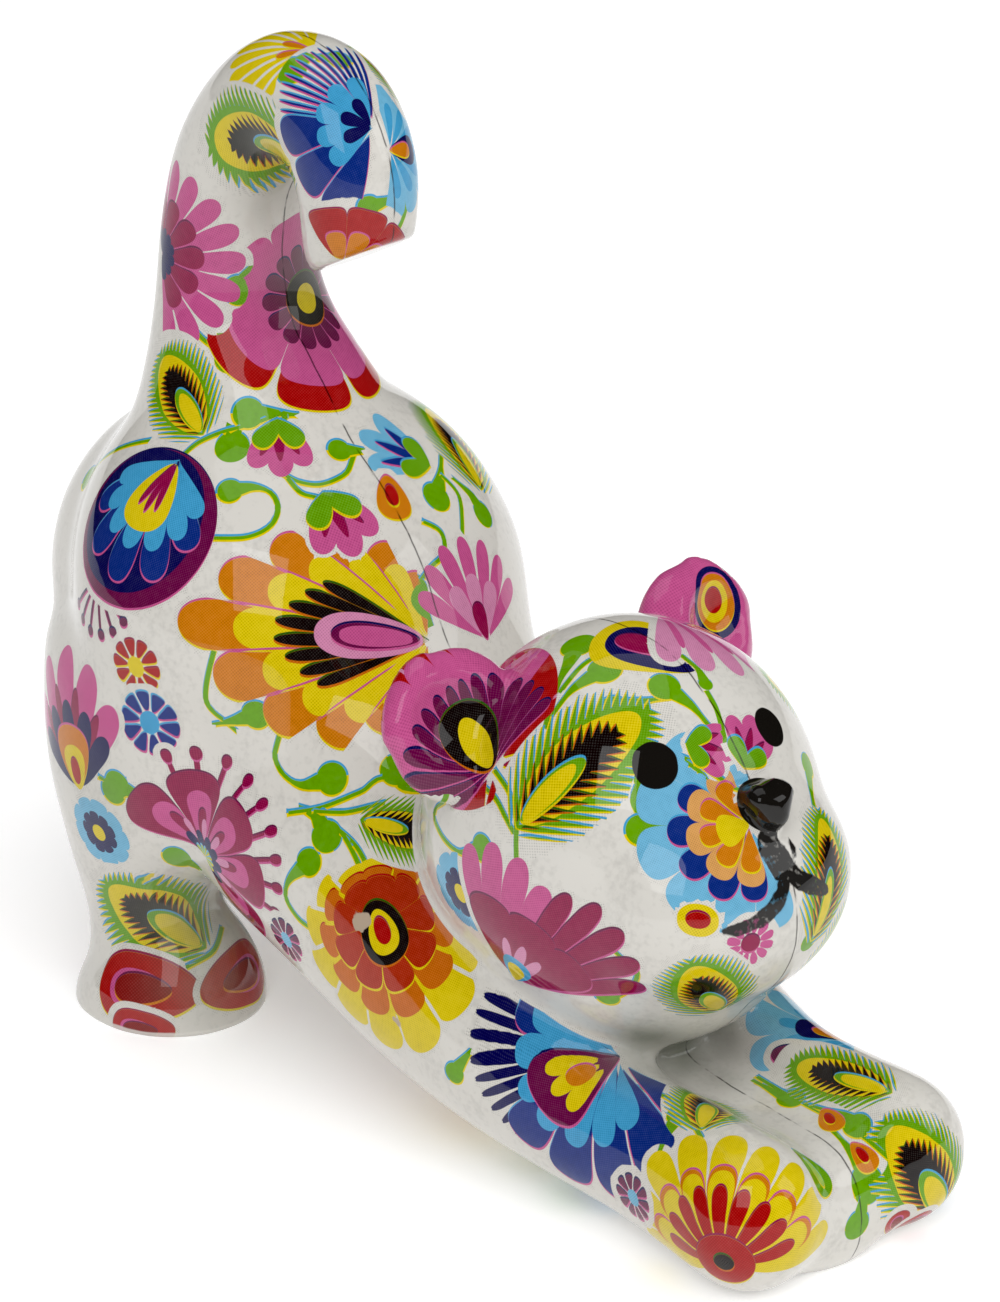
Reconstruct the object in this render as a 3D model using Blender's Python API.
"""A stretching cat: rump and tail up, forelegs flat on the ground, round head resting over them.

The figure is one casting and is modelled as one closed solid, with the hollow inside left out.
It faces -Y, its own left is +X, and it stands on Z = 0, centred over the ground that it covers.
The form is free, so every length is a share of the height, written as if the cat were 175 mm tall.
"""

import math

import bmesh
import bpy
from mathutils import Matrix, Vector

HEIGHT = 0.175  # from the soles to the top of the tail
MM = HEIGHT / 175.0  # one millimetre of a cat 175 mm tall

# Lofted forms. Y runs back from the tips of the forepaws, and Z up from the ground.
# Each station is x, y, z, half width, half depth. Paired forms are given for the +X side.
TORSO = (
    (0, 164, 71, 31.5, 32),
    (0, 149, 74, 41, 38),
    (0, 134, 69.5, 40, 34),
    (0, 116, 55.5, 30.5, 25.5),
    (0, 95, 42, 29.5, 23),
    (0, 74, 32.5, 28.5, 20),
    (0, 58, 26.5, 25.5, 17),
)
TAIL = (
    (0, 148, 84, 30, 32),
    (0, 152, 104, 22.5, 23),
    (0, 156, 121, 16.3, 14.3),
    (0, 156.5, 138, 13.6, 12.5),
    (0, 152.5, 152, 12.8, 11.8),
    (0, 142.5, 163.4, 11.8, 11.2),
    (0, 131, 163.6, 11.5, 10.5),
    (0, 124.3, 154, 11, 10),
    (0, 124.5, 140, 10, 9),
)
HIND_LEG = (
    (22, 147, 60, 20.2, 29.5),
    (24.2, 150, 42, 18, 24),
    (25, 152.3, 27, 14.3, 15.2),
    (25, 152.3, 16, 11.3, 12.1),
    (24.4, 149.8, 8.5, 14.5, 15.7),
    (24.4, 148.8, 3, 17, 18),
    (24.4, 148.8, -4, 16.3, 17.5),
)
FORELEG = (
    (23.5, 122, 44.5, 12, 19),
    (22, 104, 37, 12.5, 18.5),
    (21.2, 84, 28, 12.5, 17),
    (20.2, 66, 21.2, 12.2, 14.5),
    (18, 48, 16.2, 11.3, 12.5),
    (15.6, 30, 13.6, 10.5, 12.8),
    (16.2, 8, 12.6, 12.3, 13.6),
)
PAW_WEB = (
    (0, 70, 14, 16, 14),
    (0, 40, 10.5, 16, 11.5),
    (0, 8, 8.5, 16, 11.8),
)
NECK = (
    (0, 80, 44, 24, 20),
    (0, 66, 40, 24, 20),
)

# Balls, as centre and half sizes.
SKULL = ((0, 55.5, 60.5), (31.8, 32.5, 34.8))
MUZZLE = ((0, 37.3, 56.5), (26, 22, 20.5))
NOSE = ((0, 21.2, 75.6), (5.6, 4.6, 4.8))

# The left ear: the middle of its foot, its tip, and one edge of its foot.
EAR_FOOT = (25.6, 68.5, 80.2)
EAR_TIP = (36.6, 73, 88.6)
EAR_EDGE = (35.8, 66.5, 72.4)
# The ear's own stations, as rise, half width and half thickness.
EAR_RISE = (
    (-8, 9.5, 6),
    (-1, 12.7, 5.8),
    (5.5, 12.3, 4.8),
    (10.5, 9, 3.6),
)
# The cup in the front of the ear, in the ear's own frame: across, forwards, up.
EAR_CUP = ((0.5, 6.3, 5), (8.4, 4.6, 9))

# The tail is cut off square at its tip.
TAIL_CUT_POINT = (0, 119.4, 142.4)
TAIL_CUT_TILT = math.radians(30)  # how far the cut faces forwards of straight down
TAIL_CUT_REACH = 22  # how far from that point the cut may reach

SIDES = 36  # of each ring of a lofted form
STEPS = 6  # rings from one station to the next
CAP_ANGLES = (20, 40, 60, 78)  # where the rings of a rounded end lie, in degrees
BODY_VOXEL, BODY_SMOOTHING = 2.0, 15  # these melt the limbs into the body
FACE_VOXEL, FACE_SMOOTHING = 1.25, 4  # and these the ears and nose into the head
TRIANGLES = 9400

CLAY = (0.72, 0.70, 0.66, 1.0)
GLOSS_ROUGHNESS = 0.15


def between(before, start, end, after, t):
    """The smooth value that runs from start to end."""
    return 0.5 * (
        2 * start
        + (end - before) * t
        + (2 * before - 5 * start + 4 * end - after) * t**2
        + (3 * start - before - 3 * end + after) * t**3
    )


def smooth_run(stations):
    """The stations with a smooth run of steps between each pair."""
    padded = (stations[0], *stations, stations[-1])
    run = []
    for i in range(len(stations) - 1):
        for step in range(STEPS):
            around = zip(*padded[i : i + 4])
            run.append([between(*values, step / STEPS) for values in around])
    run.append(list(stations[-1]))
    return run


def section(centre, along, half_width, half_depth):
    """The matrix that lays a unit circle across the run as an ellipse."""
    side = (Vector((1, 0, 0)) - along * along.x).normalized()
    turn = Matrix((side, along.cross(side), along)).transposed().to_4x4()
    return Matrix.Translation(centre) @ turn @ Matrix.Diagonal((half_width, half_depth, 1, 1))


def rounded_end(centre, outwards, size, bulge):
    """The sections of a rounded end, from its rim to its pole."""
    reach = bulge * min(size)
    sections = []
    for angle in map(math.radians, CAP_ANGLES):
        at = centre + outwards * reach * math.sin(angle)
        sections.append((at, size[0] * math.cos(angle), size[1] * math.cos(angle)))
    return sections


def loft(stations, bulges=(0.8, 0.8)):
    """A closed form of elliptical sections, with rounded ends that bulge by these shares."""
    run = smooth_run(stations)
    centres = [Vector(station[:3]) for station in run]
    alongs = []
    for i in range(len(run)):
        ahead, behind = centres[min(i + 1, len(run) - 1)], centres[max(i - 1, 0)]
        alongs.append((ahead - behind).normalized())
    first = rounded_end(centres[0], -alongs[0], run[0][3:], bulges[0])
    last = rounded_end(centres[-1], alongs[-1], run[-1][3:], bulges[1])
    sections = [section(at, alongs[0], wide, deep) for at, wide, deep in reversed(first)]
    for centre, along, station in zip(centres, alongs, run):
        sections.append(section(centre, along, station[3], station[4]))
    sections += [section(at, alongs[-1], wide, deep) for at, wide, deep in last]

    form = bmesh.new()
    bmesh.ops.create_circle(form, cap_ends=True, segments=SIDES, radius=1, matrix=sections[0])
    rim = form.edges[:]
    for before, after in zip(sections, sections[1:]):
        made = bmesh.ops.extrude_edge_only(form, edges=rim)["geom"]
        rim = [item for item in made if isinstance(item, bmesh.types.BMEdge)]
        ring = [item for item in made if isinstance(item, bmesh.types.BMVert)]
        rim = [edge for edge in rim if all(vert in ring for vert in edge.verts)]
        bmesh.ops.transform(form, matrix=after @ before.inverted(), verts=ring)
    bmesh.ops.contextual_create(form, geom=rim)
    bmesh.ops.recalc_face_normals(form, faces=form.faces)
    return form


def mirrored(stations):
    return tuple((-station[0], *station[1:]) for station in stations)


def ball(centre, half_sizes):
    form = bmesh.new()
    bmesh.ops.create_icosphere(form, subdivisions=4, radius=1)
    place = Matrix.Translation(centre) @ Matrix.Diagonal((*half_sizes, 1))
    bmesh.ops.transform(form, matrix=place, verts=form.verts)
    return form


def as_object(name, forms):
    """One object that holds these forms, which are used up."""
    together = bmesh.new()
    for form in forms:
        mesh = bpy.data.meshes.new(name)
        form.to_mesh(mesh)
        form.free()
        together.from_mesh(mesh)
        bpy.data.meshes.remove(mesh)
    mesh = bpy.data.meshes.new(name)
    together.to_mesh(mesh)
    together.free()
    made = bpy.data.objects.new(name, mesh)
    bpy.context.scene.collection.objects.link(made)
    return made


def finished(made):
    """The object's mesh after its modifiers, and the object gone."""
    form = bmesh.new()
    form.from_object(made, bpy.context.evaluated_depsgraph_get())
    bpy.data.objects.remove(made)
    return form


def melted(forms, voxel, rounds):
    """Overlapping forms as one skin, with the joins between them rounded."""
    made = as_object("melted", forms)
    skin = made.modifiers.new("skin", "REMESH")
    skin.mode = "VOXEL"
    skin.voxel_size = voxel
    fillets = made.modifiers.new("fillets", "SMOOTH")
    fillets.factor = 0.5
    fillets.iterations = rounds
    return finished(made)


def thinned(form, triangles):
    """The form with about this many triangles."""
    count = sum(len(face.verts) - 2 for face in form.faces)
    made = as_object("thinned", [form])
    fewer = made.modifiers.new("fewer", "DECIMATE")
    fewer.ratio = triangles / count
    return finished(made)


def carved(form, cutter):
    """The form with the cutter taken out of it."""
    made = as_object("carved", [form])
    tool = as_object("tool", [cutter])
    cut = made.modifiers.new("cut", "BOOLEAN")
    cut.operation = "DIFFERENCE"
    cut.object = tool
    left = finished(made)
    bpy.data.objects.remove(tool)
    return left


def cut_flat(form, point, normal, within=None):
    """Take off what lies beyond a plane, only near the point if a reach is given, and close the cut."""
    faces = [face for face in form.faces
             if within is None or (face.calc_center_median() - Vector(point)).length < within]
    edges = {edge for face in faces for edge in face.edges}
    verts = {vert for face in faces for vert in face.verts}
    bmesh.ops.bisect_plane(form, geom=[*verts, *edges, *faces], plane_co=point, plane_no=normal,
                           clear_outer=True)
    rims = [edge for edge in form.edges if edge.is_boundary]
    bmesh.ops.holes_fill(form, edges=rims, sides=0)


def ear(side):
    """One ear: a rounded flap that leans out of the head, with a cup in its front."""
    foot, tip, edge = (Vector((side * p[0], p[1], p[2])) for p in (EAR_FOOT, EAR_TIP, EAR_EDGE))
    up = (tip - foot).normalized()
    across = edge - foot
    across = (across - up * across.dot(up)).normalized()
    front = across.cross(up) * side
    flap = loft([(0, 0, *station) for station in EAR_RISE], (0.5, 1.2))
    cup_centre, cup_size = EAR_CUP
    cup = ball((cup_centre[0], -cup_centre[1], cup_centre[2]), cup_size)
    form = carved(flap, cup)
    place = Matrix.Translation(foot) @ Matrix((across, -front, up)).transposed().to_4x4()
    bmesh.ops.transform(form, matrix=place, verts=form.verts)
    bmesh.ops.recalc_face_normals(form, faces=form.faces)
    return form


def cat_form():
    """The whole cat in its own millimetres, standing on Z = 0."""
    body = melted(
        [
            loft(TORSO), loft(TAIL, (0.5, 0.7)), loft(NECK), loft(PAW_WEB),
            loft(HIND_LEG), loft(mirrored(HIND_LEG)),
            loft(FORELEG, (0.8, 0.95)), loft(mirrored(FORELEG), (0.8, 0.95)),
            ball(*SKULL), ball(*MUZZLE),
        ],
        BODY_VOXEL, BODY_SMOOTHING,
    )
    downwards = (0, -math.sin(TAIL_CUT_TILT), -math.cos(TAIL_CUT_TILT))
    cut_flat(body, TAIL_CUT_POINT, downwards, TAIL_CUT_REACH)
    form = thinned(melted([body, ball(*NOSE), ear(1), ear(-1)], FACE_VOXEL, FACE_SMOOTHING), TRIANGLES)
    cut_flat(form, (0, 0, 0), (0, 0, -1))
    return form


def middle_of(form):
    """The point on the ground under the middle of the form's box."""
    sides = []
    for axis in (0, 1):
        reach = [vert.co[axis] for vert in form.verts]
        sides.append((min(reach) + max(reach)) / 2)
    return Vector((*sides, 0))


def clay_material():
    material = bpy.data.materials.new("clay")
    material.use_nodes = True
    shader = material.node_tree.nodes["Principled BSDF"]
    shader.inputs["Base Color"].default_value = CLAY
    shader.inputs["Roughness"].default_value = GLOSS_ROUGHNESS
    shader.inputs["Metallic"].default_value = 0.0
    return material


for old in list(bpy.data.objects):
    bpy.data.objects.remove(old)

form = cat_form()
middle = middle_of(form)
bmesh.ops.translate(form, vec=-middle, verts=form.verts)
bmesh.ops.scale(form, vec=(MM, MM, MM), verts=form.verts)
bmesh.ops.triangulate(form, faces=form.faces)
cat = as_object("cat_figurine", [form])
cat.data.materials.append(clay_material())
cat.data.shade_smooth()
